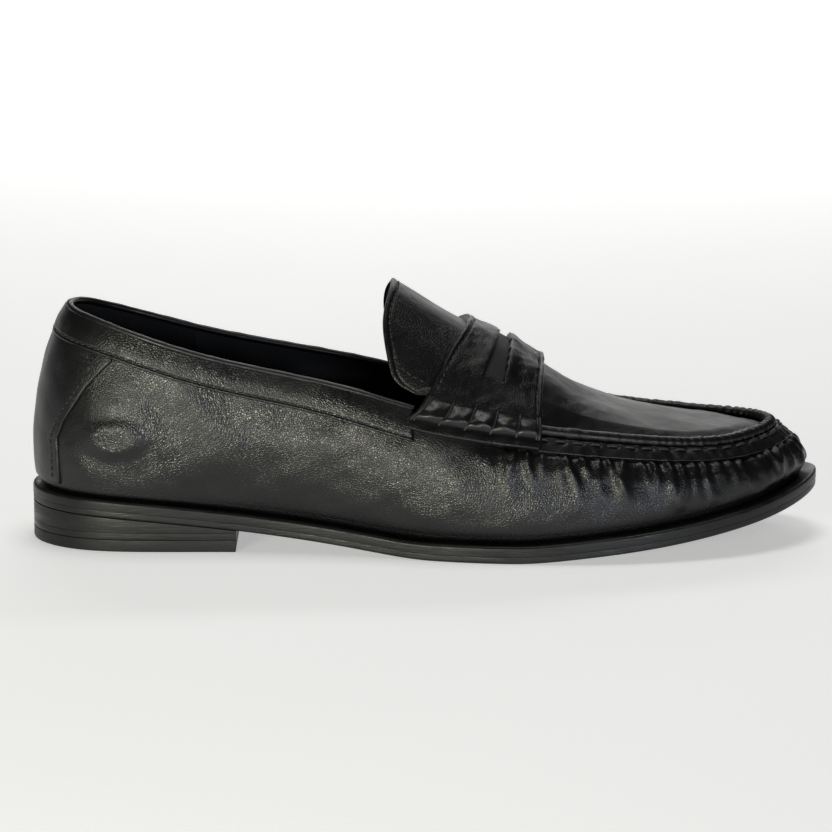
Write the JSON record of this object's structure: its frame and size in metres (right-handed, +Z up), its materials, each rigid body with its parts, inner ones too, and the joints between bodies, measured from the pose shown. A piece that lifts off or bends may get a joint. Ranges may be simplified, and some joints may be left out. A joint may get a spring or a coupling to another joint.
{
  "type": "penny loafer",
  "caption": "Slip-on leather shoe with a stitched apron, a slotted saddle strap, a low stacked heel and a lifting tongue flap",
  "frame": {"origin": "on the ground plane, at the middle of the length and of the width of the sole", "axes": "+X from the heel to the toe, +Y to the inner side of this right shoe, +Z up"},
  "size_m": [0.29, 0.1041, 0.095],
  "materials": {
    "black_leather": "polished pebble grain",
    "apron_leather": "polished pebble grain",
    "lining_leather": "matte",
    "grip_suede": "napped",
    "black_thread": "waxed",
    "black_sole": "satin",
    "heel_rubber": "matte",
    "heel_stack": "burnished black",
    "board": "matte",
    "cork": "ground cork",
    "steel": "plain",
    "foam": "foam",
    "stiffener": "fibreboard"
  },
  "bodies": {
    "shoe": {"apron": "apron_leather", "apron_lining": "lining_leather", "backstay": "black_leather", "backstay_stitch": "black_thread", "bottom_filler": "cork", "collar_band": "black_leather", "collar_bead": "black_leather", "collar_stitch": "black_thread", "heel_counter": "stiffener", "heel_grip": "grip_suede", "heel_lift": "heel_stack", "heel_nails": "steel", "heel_pad": "foam", "heel_top_lift": "heel_rubber", "heel_wedge": "heel_stack", "insole_board": "board", "midsole": "black_sole", "outsole": "black_sole", "quarter_lining_inner": "lining_leather", "quarter_lining_outer": "lining_leather", "roll_ties_inner": "black_thread", "roll_ties_outer": "black_thread", "running_stitch": "black_thread", "saddle_strap": "apron_leather", "seam_band": "black_leather", "seam_roll": "black_leather", "shank": "steel", "sock_lining": "lining_leather", "strap_backing": "lining_leather", "strap_roll_inner": "black_leather", "strap_roll_outer": "black_leather", "strap_stitch": "black_thread", "toe_puff": "stiffener", "vamp": "black_leather", "vamp_lining": "lining_leather"},
    "tongue": {"tongue": "apron_leather", "tongue_lining": "lining_leather", "tongue_stitch": "black_thread"}
  },
  "joints": [
    {"name": "tongue_flap", "type": "hinge", "parent": "shoe", "child": "tongue", "pos_m": [0.0135, 0.0002, 0.079], "axis": [0, 1, 0], "range_deg": [0, 25], "stiffness_Nm_per_rad": 0.05}
  ]
}
